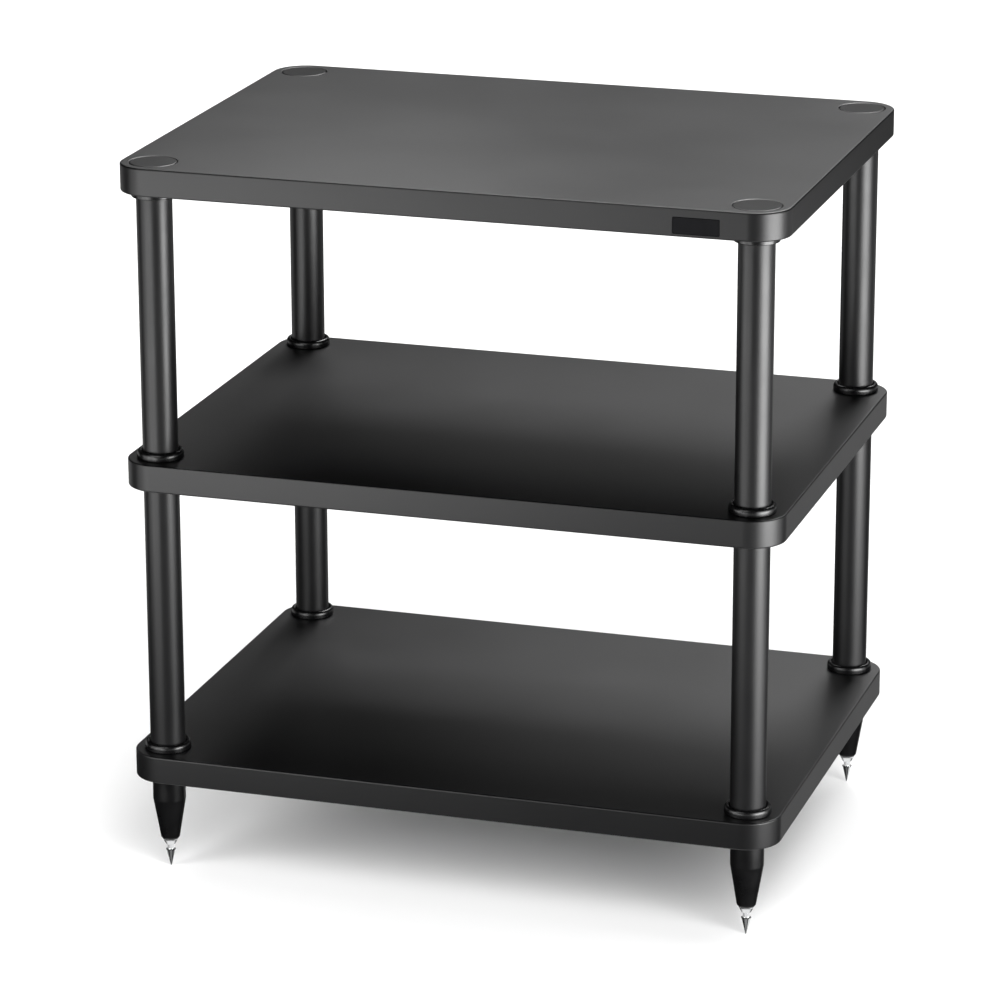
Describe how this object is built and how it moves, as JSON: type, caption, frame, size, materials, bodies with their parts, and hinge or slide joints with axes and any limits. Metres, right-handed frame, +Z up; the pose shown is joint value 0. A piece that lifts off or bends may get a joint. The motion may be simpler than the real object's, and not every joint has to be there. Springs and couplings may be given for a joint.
{
  "type": "audio equipment rack",
  "caption": "Open equipment rack: satin black boards with rounded corners, clamped between round steel posts, on bright levelling spikes.",
  "frame": {"origin": "on the floor, below the middle of the rack", "axes": "+X to the right as seen from the front, +Y to the back, +Z up"},
  "size_m": [0.605, 0.45, 0.663],
  "materials": {
    "board_lacquer": "satin black lacquer on fibreboard",
    "post_coat": "satin black powder coat",
    "gloss_polymer": "gloss black moulded polymer",
    "cap_polymer": "matt black moulded polymer",
    "foot_enamel": "black enamel",
    "chrome": "bright chrome plate on turned steel",
    "zinc_steel": "zinc plated steel"
  },
  "bodies": {
    "rack": {"shelf_bottom": "board_lacquer", "shelf_middle": "board_lacquer", "shelf_top": "board_lacquer", "lower_post_front_left": "post_coat", "lower_post_front_right": "post_coat", "lower_post_back_left": "post_coat", "lower_post_back_right": "post_coat", "upper_post_front_left": "post_coat", "upper_post_front_right": "post_coat", "upper_post_back_left": "post_coat", "upper_post_back_right": "post_coat", "lower_ring_front_left": "gloss_polymer", "lower_ring_front_right": "gloss_polymer", "lower_ring_back_left": "gloss_polymer", "lower_ring_back_right": "gloss_polymer", "upper_ring_front_left": "gloss_polymer", "upper_ring_front_right": "gloss_polymer", "upper_ring_back_left": "gloss_polymer", "upper_ring_back_right": "gloss_polymer", "head_washer_front_left": "gloss_polymer", "head_washer_front_right": "gloss_polymer", "head_washer_back_left": "gloss_polymer", "head_washer_back_right": "gloss_polymer", "lower_stud_front_left": "zinc_steel", "lower_stud_front_right": "zinc_steel", "lower_stud_back_left": "zinc_steel", "lower_stud_back_right": "zinc_steel", "middle_stud_front_left": "zinc_steel", "middle_stud_front_right": "zinc_steel", "middle_stud_back_left": "zinc_steel", "middle_stud_back_right": "zinc_steel", "cap_bolt_front_left": "zinc_steel", "cap_bolt_front_right": "zinc_steel", "cap_bolt_back_left": "zinc_steel", "cap_bolt_back_right": "zinc_steel", "bolt_washer_front_left": "zinc_steel", "bolt_washer_front_right": "zinc_steel", "bolt_washer_back_left": "zinc_steel", "bolt_washer_back_right": "zinc_steel", "foot_cone_front_left": "foot_enamel", "foot_cone_front_right": "foot_enamel", "foot_cone_back_left": "foot_enamel", "foot_cone_back_right": "foot_enamel"},
    "spike_front_left": {"spike_front_left": "chrome"},
    "spike_front_right": {"spike_front_right": "chrome"},
    "spike_back_left": {"spike_back_left": "chrome"},
    "spike_back_right": {"spike_back_right": "chrome"},
    "lock_nut_front_left": {"lock_nut_front_left": "chrome"},
    "lock_nut_front_right": {"lock_nut_front_right": "chrome"},
    "lock_nut_back_left": {"lock_nut_back_left": "chrome"},
    "lock_nut_back_right": {"lock_nut_back_right": "chrome"},
    "corner_cap_front_left": {"corner_cap_front_left": "cap_polymer"},
    "corner_cap_front_right": {"corner_cap_front_right": "cap_polymer"},
    "corner_cap_back_left": {"corner_cap_back_left": "cap_polymer"},
    "corner_cap_back_right": {"corner_cap_back_right": "cap_polymer"}
  },
  "joints": [
    {"name": "spike_travel_front_left", "type": "slide", "parent": "rack", "child": "spike_front_left", "axis": [0, 0, -1], "range_m": [0, 0.01]},
    {"name": "spike_travel_front_right", "type": "slide", "parent": "rack", "child": "spike_front_right", "axis": [0, 0, -1], "range_m": [0, 0.01]},
    {"name": "spike_travel_back_left", "type": "slide", "parent": "rack", "child": "spike_back_left", "axis": [0, 0, -1], "range_m": [0, 0.01]},
    {"name": "spike_travel_back_right", "type": "slide", "parent": "rack", "child": "spike_back_right", "axis": [0, 0, -1], "range_m": [0, 0.01]},
    {"name": "nut_turn_front_left", "type": "hinge", "parent": "spike_front_left", "child": "lock_nut_front_left", "pos_m": [-0.2725, -0.195, 0.0215], "axis": [0, 0, -1], "range_deg": [0, 360]},
    {"name": "nut_turn_front_right", "type": "hinge", "parent": "spike_front_right", "child": "lock_nut_front_right", "pos_m": [0.2725, -0.195, 0.0215], "axis": [0, 0, -1], "range_deg": [0, 360]},
    {"name": "nut_turn_back_left", "type": "hinge", "parent": "spike_back_left", "child": "lock_nut_back_left", "pos_m": [-0.2725, 0.195, 0.0215], "axis": [0, 0, -1], "range_deg": [0, 360]},
    {"name": "nut_turn_back_right", "type": "hinge", "parent": "spike_back_right", "child": "lock_nut_back_right", "pos_m": [0.2725, 0.195, 0.0215], "axis": [0, 0, -1], "range_deg": [0, 360]},
    {"name": "cap_lift_front_left", "type": "slide", "parent": "rack", "child": "corner_cap_front_left", "axis": [0, 0, 1], "range_m": [0, 0.03]},
    {"name": "cap_lift_front_right", "type": "slide", "parent": "rack", "child": "corner_cap_front_right", "axis": [0, 0, 1], "range_m": [0, 0.03]},
    {"name": "cap_lift_back_left", "type": "slide", "parent": "rack", "child": "corner_cap_back_left", "axis": [0, 0, 1], "range_m": [0, 0.03]},
    {"name": "cap_lift_back_right", "type": "slide", "parent": "rack", "child": "corner_cap_back_right", "axis": [0, 0, 1], "range_m": [0, 0.03]}
  ]
}
